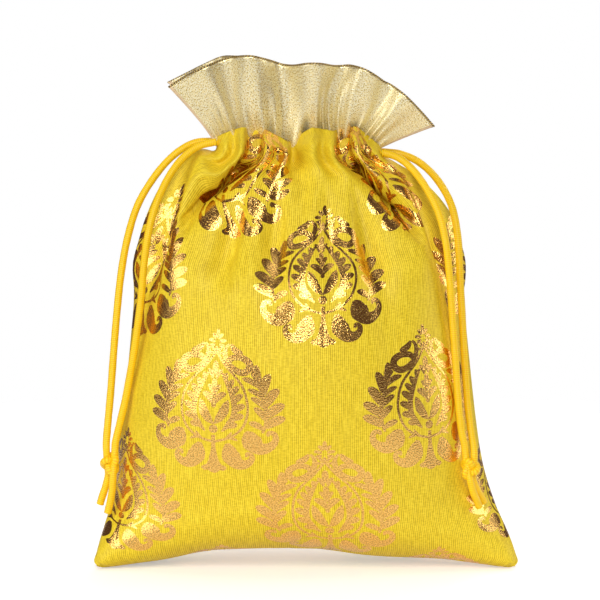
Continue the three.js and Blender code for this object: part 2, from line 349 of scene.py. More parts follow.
def gathered_panel(side, folds):
    """The start of one panel: a grid of points, smooth below and folded into the neck above."""
    wrap = np.cos(row_turn)
    half_width = through_stations(station_height, station_width, row_height)
    half_width = half_width + (corner_half - half_width) * wrap
    half_depth = through_stations(station_height, station_depth, row_height) * np.sin(row_turn)
    x = half_width * np.sin(across * math.pi / 2)
    y = half_depth * np.maximum(np.cos(across * math.pi / 2), 0) ** 1.15
    rise = np.clip((row_height - turn_height) / (neck_height - turn_height), 0, 1)
    arch = 10 * MM * (1 - ease(0, 60 * MM, np.abs(x + 12 * MM))) * (1 - rise) ** 2
    settle = 4 * MM * (1 - across ** 6) * (1 - rise) ** 2
    near_foot = 1 - ease(4 * MM, 40 * MM, row_height)
    z = np.maximum(row_height + (arch - settle) * (1 - near_foot) + foot_lift(x) * near_foot, 0)
    share = np.repeat((across + 1) / 2, rows + 1, axis=0)
    spread = half_width / neck_half
    for deep_only, begins, complete in ((True, 132 * MM, 161 * MM), (False, 155 * MM, 166 * MM)):
        curve_share, curve_x, curve_y = fold_curve(folds, deep_only)
        into = ease(begins, complete, row_height)
        x = x * (1 - into) + np.interp(share, curve_share, curve_x) * spread * into
        y = y * (1 - into) + np.interp(share, curve_share, curve_y) * into
    clear_of_cord = 5.3 * MM * (1 - ease(26 * MM, 33 * MM, np.abs(x)))
    y = y + np.maximum(clear_of_cord - y, 0) * ease(161 * MM, 165 * MM, row_height)
    up_casing = np.clip((row_height - neck_height) / casing_height, 0, 1)
    puff = (1 + 0.13 * np.sin(math.pi * up_casing)) * (1 - 0.5 * ease(0.55, 1, up_casing))
    z = z + casing_lift(x) * ease(0, 1, up_casing)
    grid = np.dstack([x, side * y * puff, z])
    grid[:, [0, -1], 1] = 0
    grid[0, :, 1] = 0
    return grid


start_grids = {-1: gathered_panel(-1, front_folds), 1: gathered_panel(1, back_folds)}
print("start depth", round(np.ptp(start_grids[-1][..., 1]) * 1000, 1), "mm in front of the seam")

# %% [markdown]
# Now the cloth. Two grids are added, one for each panel, joined and merged along the side and bottom
# seams, as the sewing does. A shape key holds the flat cut, which Cloth takes as the cloth's true lengths,
# so all the width that the neck takes up has to go into folds. The folds could be sculpted, but cloth that
# is let go finds its own. Pressure pushes the panels out. The casing and the bottom seam are pinned. It
# runs ten times life size, where Cloth's own tolerances are small beside the folds.

# %% Sew and fill the bag
sim_scale = 10


def panel_grid(name, side):
    """A grid for one panel, and where each of its points lies in the drawn shape."""
    bpy.ops.object.select_all(action="DESELECT")
    bpy.ops.mesh.primitive_grid_add(x_subdivisions=columns, y_subdivisions=rows, size=1, calc_uvs=True)
    panel = bpy.context.object
    panel.name = name
    corners = np.empty(len(panel.data.vertices) * 3)
    panel.data.vertices.foreach_get("co", corners)
    place = np.rint((corners.reshape(-1, 3)[:, :2] + 0.5) * [columns, rows]).astype(int)
    return panel, start_grids[side][place[:, 1], place[:, 0]]


front_start, front_points = panel_grid("front_start", -1)
back_start, back_points = panel_grid("back_start", 1)
for panel, points in ((front_start, front_points), (back_start, back_points)):
    panel.data.vertices.foreach_set("co", (points * sim_scale).ravel())
    flags = panel.data.attributes.new("is_back", "INT", "FACE")
    flags.data.foreach_set("value", np.full(len(panel.data.polygons), int(panel is back_start), np.int32))
bpy.ops.object.select_all(action="DESELECT")
back_start.select_set(True)
bpy.context.view_layer.objects.active = back_start
bpy.ops.object.mode_set(mode="EDIT")
bpy.ops.mesh.select_all(action="SELECT")
bpy.ops.mesh.flip_normals()
bpy.ops.object.mode_set(mode="OBJECT")
front_start.select_set(True)
bpy.context.view_layer.objects.active = front_start
bpy.ops.object.join()
bag = front_start
bpy.ops.object.mode_set(mode="EDIT")
bpy.ops.mesh.select_all(action="SELECT")
bpy.ops.mesh.remove_doubles(threshold=1e-5)
bpy.ops.object.mode_set(mode="OBJECT")
print("sewn bag has", len(bag.data.vertices), "points and", len(bag.data.polygons), "faces")

# %% Read grid places back from the bag
loop_vertex = np.empty(len(bag.data.loops), np.int32)
bag.data.loops.foreach_get("vertex_index", loop_vertex)
loop_place = np.empty(len(bag.data.loops) * 2)
bag.data.uv_layers[0].data.foreach_get("uv", loop_place)
loop_place = np.rint(loop_place.reshape(-1, 2) * [columns, rows]).astype(int)
face_is_back = np.empty(len(bag.data.polygons), np.int32)
bag.data.attributes["is_back"].data.foreach_get("value", face_is_back)
loop_is_back = np.repeat(face_is_back, 4)


def bag_points(mesh):
    points = np.empty(len(mesh.vertices) * 3)
    mesh.vertices.foreach_get("co", points)
    return points.reshape(-1, 3)


flat_points = np.zeros((len(bag.data.vertices), 3))
flat_points[loop_vertex, 0] = (loop_place[:, 0] / columns - 0.5) * cut_width
flat_points[loop_vertex, 2] = loop_place[:, 1] / rows * cut_height
inside = (loop_place[:, 0] % columns > 0) & (loop_place[:, 1] > 0)
flat_points[loop_vertex[inside], 1] = np.where(loop_is_back[inside] > 0, 1, -1) * 0.5 * MM
held_height = 12.5 * MM
in_bottom_seam = loop_place[:, 1] == 0
in_casing = flat_points[loop_vertex, 2] > cut_height - held_height
pinned = np.unique(loop_vertex[in_bottom_seam | in_casing])
print(len(pinned), "points are held in the casing and the bottom seam")

# %% Let the cloth go
bag.shape_key_add(name="Basis")
flat_key = bag.shape_key_add(name="flat_cut")
flat_key.data.foreach_set("co", (flat_points * sim_scale).ravel())
flat_key.value = 0
bag.vertex_groups.new(name="held").add(pinned.tolist(), 1.0, "REPLACE")
cloth = bag.modifiers.new("cloth", "CLOTH")
cloth_feel = {
    "quality": 6, "mass": 0.3, "air_damping": 2,
    "tension_stiffness": 40, "compression_stiffness": 40, "shear_stiffness": 15, "bending_stiffness": 12,
    "tension_damping": 10, "compression_damping": 10, "shear_damping": 10,
    "vertex_group_mass": "held", "rest_shape_key": flat_key,
    "use_pressure": True, "uniform_pressure_force": 3,
}
for setting, value in cloth_feel.items():
    setattr(cloth.settings, setting, value)
cloth.settings.effector_weights.gravity = 0.3
cloth.collision_settings.use_collision = False
frames = 30
cloth.point_cache.frame_start = 1
cloth.point_cache.frame_end = frames
for frame_number in range(1, frames + 1):
    bpy.context.scene.frame_set(frame_number)
settled_bag = bag.evaluated_get(bpy.context.evaluated_depsgraph_get())
settled = bag_points(settled_bag.data) / sim_scale
settled[:, 2] = np.maximum(settled[:, 2], 0.4 * MM)
bpy.context.scene.frame_set(1)
bpy.data.objects.remove(bag)
print("settled bag", np.round(settled.min(axis=0) * 1000, 1), np.round(settled.max(axis=0) * 1000, 1))

# %% [markdown]
# The settled shape is worked over, as a maker pats a filled bag into place. Up at the neck it is the
# simulation's; below the shoulders most of the drawn shape comes back, because the photograph's outline
# matters more there. The points are then spread evenly, and the foot, its corners and the left shoulder
# are moved to where they stand.

# %% Work over the settled cloth
def evened(grid):
    """The same shape with its points spread anew, so that the print isn't stretched: evenly up each column,
    with the rows of the belly kept level, and then evenly along each row."""
    share = np.linspace(0, 1, rows + 1)
    middle = grid[:, columns // 2]
    middle_up = run_lengths(middle)
    row_level = np.interp(share * middle_up[-1], middle_up, middle[:, 2])
    keep_level = 0.9 * ease(0, 0.25, share) * (1 - ease(0.7, 0.87, share))
    risen = np.empty_like(grid)
    for column in range(columns + 1):
        line = grid[:, column]
        run = run_lengths(line)
        at_level = np.interp(row_level, np.maximum.accumulate(line[:, 2]), run)
        place = np.maximum.accumulate(share * run[-1] * (1 - keep_level) + at_level * keep_level)
        risen[:, column] = np.column_stack([np.interp(place, run, line[:, axis]) for axis in range(3)])
    spread = np.empty_like(grid)
    for row, line in enumerate(risen):
        run = run_lengths(line)
        even = np.linspace(0, run[-1], columns + 1)
        spread[row] = np.column_stack([np.interp(even, run, line[:, axis]) for axis in range(3)])
    return spread


def lean_and_corners(grid):
    """The foot of the bag leans a little to the right, and its two corners come forward."""
    low = 1 - ease(4 * MM, 50 * MM, grid[..., 2])
    forward = 18 * MM * np.abs(grid[..., 0] / corner_half) ** 4 * (1 - ease(0, 34 * MM, grid[..., 2]))
    toe = 3.6 * MM * ease(0, 5 * MM, grid[..., 2]) * (1 - ease(10 * MM, 42 * MM, grid[..., 2]))
    grid[..., 0] += 2.8 * MM * low + toe * (grid[..., 0] / corner_half) ** 7
    grid[..., 1] -= forward
    return grid


def raise_left_shoulder(grid):
    """The left shoulder is full and stands up to the cords."""
    near_seam = ease(31 * MM, 41 * MM, -grid[..., 0])
    level = grid[..., 2]
    lift = 6 * MM * near_seam * ease(138 * MM, 156 * MM, level) * (1 - ease(165 * MM, 174 * MM, level))
    grid[..., 2] += lift
    return grid


cloth_grids = {}
for side, flag in ((-1, 0), (1, 1)):
    ours = loop_is_back == flag
    grid = np.zeros((rows + 1, columns + 1, 3))
    grid[loop_place[ours, 1], loop_place[ours, 0]] = settled[loop_vertex[ours]]
    simulated = 0.3 + 0.7 * ease(108 * MM, 146 * MM, row_height)[:, :, None]
    grid = start_grids[side] * (1 - simulated) + grid * simulated
    level = grid[..., 2]
    grid[..., 0] *= 1 + 0.15 * ease(110 * MM, 141 * MM, level) * (1 - ease(158 * MM, 170 * MM, level))
    cloth_grids[side] = raise_left_shoulder(lean_and_corners(evened(grid)))
    print("panel", side, "is", round(np.ptp(cloth_grids[side][..., 0]) * 1000), "mm wide")

# %% Points on the settled cloth
def on_cloth(side, p, q):
    """Places on a panel: p across from its middle, q up from its bottom seam, in metres of flat cloth."""
    grid = cloth_grids[side]
    padded = np.concatenate([2 * grid[:1] - grid[1:2], grid, 2 * grid[-1:] - grid[-2:-1]])
    left_edge = 2 * padded[:, :1] - padded[:, 1:2]
    right_edge = 2 * padded[:, -1:] - padded[:, -2:-1]
    padded = np.concatenate([left_edge, padded, right_edge], axis=1)
    u = np.clip((p / cut_width + 0.5) * columns, 0, columns)
    v = np.clip(q / cut_height * rows, 0, rows)
    column = np.minimum(u.astype(int), columns - 1)
    row = np.minimum(v.astype(int), rows - 1)

    def weights(t):
        return [
            0.5 * (-t ** 3 + 2 * t ** 2 - t), 0.5 * (3 * t ** 3 - 5 * t ** 2 + 2),
            0.5 * (-3 * t ** 3 + 4 * t ** 2 + t), 0.5 * (t ** 3 - t ** 2),
        ]

    column_weights = weights(u - column)
    row_weights = weights(v - row)
    place = np.zeros((len(u), 3))
    for down in range(4):
        for along in range(4):
            weight = row_weights[down] * column_weights[along]
            place += weight[:, None] * padded[row + down, column + along]
    return place


def cloth_normals(side, p, q):
    """Which way the panel faces at each place, out of the bag."""
    step = 0.4 * MM
    along = on_cloth(side, p + step, q) - on_cloth(side, p - step, q)
    up = on_cloth(side, p, q + step) - on_cloth(side, p, q - step)
    normal = -side * np.cross(along, up)
    return normal / np.maximum(np.linalg.norm(normal, axis=1), 1e-12)[:, None]


middle = on_cloth(-1, np.zeros(3), np.array([0.05, 0.1, 0.15]))
print("middle of the front at", np.round(middle * 1000, 1).tolist())

# %% [markdown]
# The bottom corners of the bag are blunt, since the seam turns there. They could be cut round in the flat,
# but moving the cloth's points near each corner onto an arc, and closing the two panels there, keeps the
# cut a plain rectangle.

# %% Round the bottom corners
corner_radius = 9 * MM
flat_p, flat_q = np.meshgrid(
    np.linspace(-0.5, 0.5, columns + 1) * cut_width, np.linspace(0, cut_height, rows + 1))
into_p = np.clip(1 - (cut_width / 2 - np.abs(flat_p)) / corner_radius, 0, 1)
into_q = np.clip(1 - flat_q / corner_radius, 0, 1)
in_corner = np.minimum(into_p, into_q) > 0
pull = np.maximum(into_p, into_q) / np.maximum(np.hypot(into_p, into_q), 1e-9)
round_p = np.where(in_corner, np.sign(flat_p) * (cut_width / 2 - corner_radius * (1 - into_p * pull)), flat_p)
round_q = np.where(in_corner, corner_radius * (1 - into_q * pull), flat_q)
rounded = {}
for side in (-1, 1):
    points = on_cloth(side, round_p.ravel(), round_q.ravel())
    rounded[side] = points.reshape(rows + 1, columns + 1, 3)
seam = (rounded[-1] + rounded[1]) / 2
close = ease(0, 0.35, np.minimum(into_p, into_q)) * ease(0.5, 1, np.maximum(into_p, into_q))
for side in (-1, 1):
    cloth_grids[side] = rounded[side] + (seam - rounded[side]) * close[:, :, None]
print("corners now end at x", np.round(cloth_grids[-1][0, [0, -1], 0] * 1000, 1).tolist())

# %% [markdown]
# The print. The cloth carries rows of a foil mango motif, each row set half a step aside from the next. A
# motif is drawn as brush strokes: a line of points with a width at each. Only its right half is drawn; the
# left half mirrors it. An image would do too, but strokes stay sharp and are part of the mesh, so the foil
# can be a material of its own.

# %% Strokes of the motif
def stroke(points, widths, steps=4):
    """The outline of one brush stroke, in millimetres."""
    line = smooth_path(points, steps)
    spread = np.interp(np.arange(len(line)) / steps, np.arange(len(points)), widths) / 2
    along = np.gradient(line, axis=0)
    along /= np.maximum(np.linalg.norm(along, axis=1), 1e-9)[:, None]
    aside = np.column_stack([-along[:, 1], along[:, 0]]) * spread[:, None]
    return np.vstack([line + aside, (line - aside)[::-1]])


def leaf(start, tip, width, bow=0.12, steps=2):
    """A pointed leaf from start to tip, bowed to one side."""
    start, tip = np.array(start, float), np.array(tip, float)
    aside = np.array([start[1] - tip[1], tip[0] - start[0]]) * bow
    shares = np.array([0, 0.2, 0.45, 0.7, 0.9, 1])[:, None]
    points = start * (1 - shares) + tip * shares + aside * 4 * shares * (1 - shares)
    return stroke(points, np.array([0.34, 0.78, 1, 0.96, 0.66, 0.14]) * width, steps)


def dot(middle, radius, tall=1.0, corners=12):
    """A round dot, or an upright oval where tall is more than 1."""
    angle = np.arange(corners) / corners * 2 * math.pi
    return np.column_stack([middle[0] + radius * np.cos(angle), middle[1] + tall * radius * np.sin(angle)])


tracing_foot = [765, 1510]
tracing_scale = 0.0418


def from_tracing(points):
    """Points noted on an enlarged tracing, as millimetres from the middle of the motif's foot."""
    return (np.array(points, float) - tracing_foot) * [tracing_scale, -tracing_scale]


def traced_stroke(points, widths, steps=4):
    return stroke(from_tracing(points), np.array(widths) * tracing_scale, steps)


def traced_leaf(start, tip, width, bow=0.12):
    ends = from_tracing([start, tip])
    return leaf(ends[0], ends[1], width * tracing_scale, bow)


def traced_row(bow, *leaves):
    """Several leaves with the same bow, each given as the two ends and the width."""
    return [traced_leaf(leaf_ends[:2], leaf_ends[2:4], leaf_ends[4], bow) for leaf_ends in leaves]

# %% Right half of the motif
motif_strokes = [
    # The pendant at the foot, and the two scrolls beside it
    np.array([
        (0, 16.4), (0.75, 16.2), (0.8, 11), (1.3, 8.4), (1.9, 5.6), (2.8, 3.8), (4.6, 2.9), (4.9, 2.1),
        (3.7, 1.1), (2.3, 1.3), (1.2, 0.4), (0, 0),
    ]),
    traced_stroke(
        [(890, 1200), (905, 1255), (925, 1330), (985, 1400), (1055, 1405), (1105, 1360), (1105, 1310),
         (1070, 1300), (1058, 1332)],
        [40, 120, 172, 128, 84, 58, 46, 40, 22]),
    traced_stroke(
        [(1055, 1075), (1078, 1110), (1115, 1180), (1185, 1240), (1265, 1222), (1318, 1160), (1312, 1092),
         (1264, 1078), (1248, 1112)],
        [36, 128, 190, 130, 88, 60, 50, 44, 24]),
    # The thin pointed oval with a small sprig at its foot
    traced_stroke(
        [(752, 1192), (870, 1158), (960, 1108), (1036, 1020), (1073, 900), (1069, 780), (1030, 650),
         (960, 550), (866, 452), (800, 366), (757, 305)],
        [24] * 11, 5),
    traced_leaf((868, 1150), (985, 1168), 30),
    traced_leaf((880, 1140), (930, 1085), 26, -0.1),
    # The toothed crescent inside it
    traced_stroke(
        [(842, 1082), (905, 1008), (948, 930), (956, 840), (938, 745), (906, 660), (858, 556), (815, 500)],
        [16, 58, 56, 54, 50, 46, 36, 12]),
    *traced_row(
        0.12, (900, 1040, 985, 1012, 60), (940, 965, 1042, 922, 66), (956, 885, 1054, 818, 66),
        (952, 800, 1032, 716, 64), (936, 730, 993, 640, 58), (912, 668, 944, 574, 54),
        (872, 600, 884, 516, 50)),
    # The flower in the middle, from its base up to its crown
    dot((0, 18.8), 1.75),
    traced_stroke([(765, 1012), (812, 960), (858, 885), (882, 815), (900, 772)], [10, 72, 92, 60, 6]),
    traced_leaf((772, 815), (880, 712), 66, 0.16),
    traced_leaf((768, 742), (828, 634), 52, 0.16),
    dot((0, 28.5), 0.95),
    dot((0, 37.4), 1.2, 1.5),
    leaf((0, 40.6), (0, 46.2), 2.6, 0),
    traced_leaf((785, 575), (838, 486), 44, 0.14),
    # The leafy spray outside: its stem, its outer leaves and its inner leaves
    traced_stroke(
        [(1206, 1082), (1238, 985), (1242, 875), (1218, 762), (1182, 645), (1160, 560)],
        [22, 38, 42, 40, 34, 14]),
    *traced_row(
        0.1, (1240, 1030, 1408, 930, 88), (1248, 932, 1402, 798, 92), (1242, 822, 1352, 650, 92),
        (1222, 712, 1270, 508, 88), (1186, 600, 1146, 424, 82)),
    *traced_row(
        -0.1, (1214, 1052, 1086, 985, 62), (1238, 962, 1130, 836, 66), (1238, 852, 1100, 738, 60),
        (1216, 752, 1072, 662, 52), (1190, 652, 1018, 558, 58), (1172, 600, 1096, 506, 46)),
    # The ringed scroll near the top, with its hook
    traced_stroke(
        [(905, 440), (888, 412), (925, 368), (1005, 362), (1072, 400), (1085, 455), (1042, 502), (975, 494),
         (905, 446), (868, 392), (852, 336), (858, 280), (890, 240)],
        [20, 50, 56, 60, 66, 68, 66, 62, 56, 54, 48, 38, 20]),
    traced_leaf((905, 238), (1020, 320), 62, -0.16),
    traced_leaf((925, 268), (950, 318), 34, -0.1),
    # Two sprigs and the finial
    traced_leaf((790, 322), (842, 250), 34),
    traced_leaf((788, 330), (868, 312), 30, -0.12),
    leaf((0, 52.0), (0, 49.4), 1.5, 0),
    leaf((0.9, 52.6), (3.0, 51.6), 1.4, 0.1),
    leaf((1.0, 53.6), (3.9, 54.2), 1.5, 0.1),
    leaf((0.7, 54.6), (2.4, 56.8), 1.5, 0.1),
    leaf((0, 55.0), (0, 58.8), 1.7, 0),
]
print(len(motif_strokes), "strokes in half a motif")

# %% [markdown]
# The cloth is now meshed in the flat, like a printed length before it is sewn: a net of points, closer
# together where the neck will fold it, and every stroke as an outline in the net. Each triangle is then
# foil or bare cloth. Only after that does the net go onto the settled shape, with a second layer for the
# cloth's back.

# %% Place the motifs
panel_half, panel_top = cut_width / MM / 2, cut_height / MM
motif_first = np.array([9.8, 15.2])
motif_column, motif_row, motif_drop = 43.5, 99.2, 45.4
motif_size = np.array([1.06, 1.03])
motif_half, motif_height = 30, 60
ink_margin, net_margin = 0.4, 0.5


def motif_feet(shift):
    """The foot of every motif that touches a panel, in millimetres of flat cloth."""
    feet = []
    for column in range(-4, 5):
        for row in range(-2, 3):
            place = motif_first + shift + [motif_column * column, motif_row * row + motif_drop * (column % 2)]
            if abs(place[0]) < panel_half + motif_half and -motif_height < place[1] < panel_top:
                feet.append(place)
    return feet


def printed_outlines(shift):
    """The outline of every stroke on a panel, held inside its edges."""
    outlines = []
    for foot in motif_feet(shift):
        for outline in motif_strokes:
            for mirror in (1, -1):
                placed = outline * motif_size * [mirror, 1] + foot
                inside_width = np.abs(placed[:, 0]) < panel_half - ink_margin
                inside_height = (placed[:, 1] > ink_margin) & (placed[:, 1] < panel_top - ink_margin)
                inside_panel = inside_width & inside_height
                if inside_panel.all():
                    outlines.append(placed)
                elif inside_panel.any():
                    held_x = np.clip(placed[:, 0], net_margin - panel_half, panel_half - net_margin)
                    held_y = np.clip(placed[:, 1], net_margin, panel_top - net_margin)
                    outlines.append(np.column_stack([held_x, held_y]))
    return outlines


print(len(motif_feet(np.zeros(2))), "motifs touch the front,", len(printed_outlines(np.zeros(2))), "strokes")

# %% Flat net of a printed panel
belly_spacing, neck_spacing, neck_begins = 1.75, 1.2, 128
row_pitch = 0.87
net_jitter = 0.12
ink_cell = 0.7


def loose_net(seed):
    """Rows of points over a flat panel, a little uneven and set off from row to row."""
    chance = np.random.default_rng(seed)
    points = []
    level = 0.0
    odd = False
    while level < panel_top - net_margin:
        spacing = belly_spacing if level < neck_begins else neck_spacing
        count = int(2 * panel_half / spacing)
        row = np.linspace(-panel_half, panel_half, count + 1)
        inner = row[1:-1] + (spacing / 2 if odd else 0) * (0.5 if level > 0 else 0)
        if level > 0:
            inner = inner + chance.uniform(-net_jitter, net_jitter, len(inner)) * spacing
            inner = np.clip(inner, net_margin - panel_half, panel_half - net_margin)
        row = np.concatenate([row[:1], inner, row[-1:]])
        points.append(np.column_stack([row, np.full(count + 1, level)]))
        level += spacing * row_pitch
        odd = not odd
    count = int(2 * panel_half / neck_spacing)
    top_row = np.linspace(-panel_half, panel_half, count + 1)
    points.append(np.column_stack([top_row, np.full(count + 1, panel_top)]))
    return np.vstack(points)


def flat_net(shift, seed):
    """Points and triangles of a flat panel, with every stroke's outline among their edges."""
    outlines = printed_outlines(shift)
    net = loose_net(seed)
    edge = (np.abs(net[:, 0]) > panel_half - 0.01) | (net[:, 1] < 0.01) | (net[:, 1] > panel_top - 0.01)
    ink = np.vstack(outlines)
    cells = {tuple(cell) for cell in np.floor(ink / ink_cell).astype(int).tolist()}
    near = np.zeros(len(net), bool)
    for step in ((0, 0), (1, 0), (-1, 0), (0, 1), (0, -1)):
        taken = np.floor(net / ink_cell).astype(int) + step
        near |= np.array([tuple(cell) in cells for cell in taken.tolist()])
    net = net[edge | ~near]
    vertices = [Vector(point) for point in net.tolist()]
    edges = []
    for outline in outlines:
        first = len(vertices)
        vertices += [Vector(point) for point in outline.tolist()]
        edges += [(first + index, first + (index + 1) % len(outline)) for index in range(len(outline))]
    made = geometry.delaunay_2d_cdt(vertices, edges, [], 0, 1e-3)
    return np.array([tuple(point) for point in made[0]]), np.array([tuple(face) for face in made[2]])

# %% Which triangles are foil
def inside_outline(points, outline):
    """Which points a closed outline winds round."""
    turns = np.zeros(len(points), int)
    for (x0, y0), (x1, y1) in zip(outline, np.roll(outline, -1, axis=0)):
        left = (x1 - x0) * (points[:, 1] - y0) - (points[:, 0] - x0) * (y1 - y0)
        turns += ((y0 <= points[:, 1]) & (y1 > points[:, 1]) & (left > 0)).astype(int)
        turns -= ((y0 > points[:, 1]) & (y1 <= points[:, 1]) & (left < 0)).astype(int)
    return turns != 0


def is_foil(points, shift):
    """Which points of a flat panel lie inside a stroke of the print."""
    foil = np.zeros(len(points), bool)
    for foot in motif_feet(shift):
        local = (points - foot) / motif_size
        local[:, 0] = np.abs(local[:, 0])
        close = np.where((local[:, 0] < motif_half) & (local[:, 1] > -1) & (local[:, 1] < motif_height))[0]
        for outline in motif_strokes:
            low, high = outline.min(axis=0), outline.max(axis=0)
            held = close[((local[close] >= low) & (local[close] <= high)).all(axis=1)]
            foil[held] |= inside_outline(local[held], outline)
    return foil

# %% Printed panels
cloth_thickness = 0.5 * MM
panel_gap = 0.25 * MM
flat_uv_unit = 100


def printed_panel(name, side, shift, seed):
    """One panel on the settled shape: a printed outside, a plain inside and a rim between them."""
    net, faces = flat_net(np.array(shift), seed)
    middles = net[faces].mean(axis=1)
    foil = is_foil(middles, np.array(shift))
    p, q = net[:, 0] * MM, net[:, 1] * MM
    outer = on_cloth(side, p, q)
    normal = cloth_normals(side, p, q)
    outer[:, 1] += side * panel_gap
    inner = outer - normal * cloth_thickness
    count = len(net)
    turned = faces if side < 0 else faces[:, ::-1]
    pairs = np.sort(np.vstack([faces[:, [0, 1]], faces[:, [1, 2]], faces[:, [2, 0]]]), axis=1)
    rim_edges, uses = np.unique(pairs, axis=0, return_counts=True)
    rim_set = {tuple(edge) for edge in rim_edges[uses == 1].tolist()}
    rim = []
    for face in turned.tolist():
        for a, b in zip(face, face[1:] + face[:1]):
            if (min(a, b), max(a, b)) in rim_set:
                rim.append((b, a, a + count, b + count))
    layers = (turned, turned[:, ::-1] + count, np.array(rim))
    all_faces = [face for layer in layers for face in layer.tolist()]
    corners = np.concatenate([layer.ravel() for layer in layers])
    flat = np.vstack([net, net]) / flat_uv_unit
    panel = mesh_piece(name, np.vstack([outer, inner]), all_faces, flat[corners])
    slots = np.concatenate([np.where(foil, 1, 0), np.full(len(faces) + len(rim), 2)])
    panel.data.polygons.foreach_set("material_index", slots.astype(np.int32))
    print(name, len(all_faces), "faces,", int(foil.sum()), "of them foil")
    return panel


front_cloth = printed_panel("front_cloth", -1, (0, 0), 1)
back_cloth = printed_panel("back_cloth", 1, (22, 20), 2)

# %% [markdown]
# The frill is a strip of gold cloth sewn inside the top of the casing and left standing. Its foot follows
# the folds of the neck and its top edge opens into a fan, higher on the left than on the right. It is
# drawn as a surface between those two edges, which is easier to hold to the photograph than a simulation.

# %% Edges of the frill
frill_front_top = [
    (-52.5, 2, 194.3), (-45.5, 6.5, 198.8), (-38.5, 12.5, 202.2), (-32.5, 8, 204.8), (-28.5, 7, 206.1),
    (-24, 12, 206.8), (-19, 16, 207), (-14, 12.5, 205.9), (-10, 5.5, 204.6), (-6.5, 4.5, 203.5),
    (-2, 10, 203.2), (3, 15.5, 204), (8.5, 16, 204), (13.5, 10.5, 203.1), (17, 5.5, 203),
    (20.5, 7.5, 203.2), (25.5, 14.5, 202), (30, 13.5, 199.6), (34, 7.5, 196.8), (37.5, 7.5, 195),
    (42.5, 13, 191.2), (48.5, 8, 185.2), (54.5, 2, 178.5),
]
frill_back_top = [
    (-53, 1.5, 196), (-45, 11, 200), (-39, 5, 203), (-32, 17, 206), (-26, 6, 206.5), (-18, 19, 205.5),
    (-11, 6, 204), (-3, 19, 202.5), (4, 6, 202), (11, 19, 202), (18, 6, 201), (25, 18, 199), (32, 5, 196),
    (39, 14, 191), (46, 5, 186), (54, 1.5, 178),
]
foot_of_top = np.array([
    (-53, -33.5), (-38.5, -27), (-28, -22), (-20, -16.5), (-10.5, -8.5), (-4.5, -4), (7, 5), (18, 14),
    (29.5, 21), (36.5, 24.5), (42, 27), (48.5, 29.3), (54.5, 31),
])


frill_width, frill_height = 178, 30
frill_columns, frill_levels = 320, 24
frill_foot_level = 172
edge_steps = 20
soften_width = 19


def frill_edges(top_points):
    """Even points along the frill's top edge and below them along its foot, in metres."""
    top_given = np.array(top_points)
    foot_given = np.empty_like(top_given)
    foot_given[:, 0] = np.interp(top_given[:, 0], foot_of_top[:, 0], foot_of_top[:, 1])
    narrowing = 1 - 0.6 * ease(25, 33, np.abs(foot_given[:, 0]))
    foot_given[:, 1] = (3.4 + 0.12 * (top_given[:, 1] - 12)) * narrowing
    foot_given[:, 2] = frill_foot_level + casing_lift(foot_given[:, 0] * MM) / MM
    top_path = smooth_path(top_given * MM, edge_steps)
    foot_path = smooth_path(foot_given * MM, edge_steps)
    top_run = run_lengths(top_path)
    index = np.arange(len(top_path))
    step = np.interp(np.linspace(0, 1, frill_columns + 1), top_run / top_run[-1], index)
    top = np.column_stack([np.interp(step, index, top_path[:, axis]) for axis in range(3)])
    foot = np.column_stack([np.interp(step, index, foot_path[:, axis]) for axis in range(3)])
    soften = np.ones(soften_width) / soften_width
    top[:, 1] = np.convolve(np.pad(top[:, 1], soften_width // 2, mode="edge"), soften, mode="valid")
    return top, foot


print("front frill's top edge", round(run_lengths(frill_edges(frill_front_top)[0])[-1] * 1000), "mm")

# %% Fall of the frill
def frill_grid(side, top_points, seed):
    """The frill's outside as a grid: gathers at the foot that open into the waves of the top."""
    top, foot = frill_edges(top_points)
    share = np.linspace(0, 1, frill_columns + 1)
    rise = np.linspace(0, 1, frill_levels + 1)[:, None]
    grid = np.empty((frill_levels + 1, frill_columns + 1, 3))
    for axis, power in ((0, 1.15), (1, 0.9), (2, 0.97)):
        grid[..., axis] = foot[:, axis] + (top - foot)[:, axis] * rise ** power
    turns = 17 * share + 0.6 * np.sin(9 * share) + 0.35 * np.sin(23 * share + seed)
    gathers = 2.45 * MM * np.sin(2 * math.pi * turns) * np.sin(math.pi * share) ** 0.5
    grid[..., 1] += gathers * (1 - rise) ** 2
    sway = 2.6 * MM * np.sin(5.2 * math.pi * share + 0.8) * np.sin(math.pi * share)
    grid[..., 0] += sway * np.sin(math.pi * rise)
    chance = np.random.default_rng(seed)
    for ripple in range(6):
        waves, phase = chance.uniform(6, 20), chance.uniform(0, 6.28)
        swing = 0.8 * MM / (1 + waves / 6)
        angle = waves * math.pi * share + phase + rise * chance.uniform(-2, 2)
        grid[..., 1] += swing * np.sin(angle) * rise * (1.3 - rise)
    grid[..., 1] = np.maximum(grid[..., 1], 0.8 * MM)
    grid[..., 1] *= side
    return grid

# %% Frill cloth and its hem
frill_thickness = 0.35 * MM
hem_diameter = 0.75 * MM
plain_end = 0.875


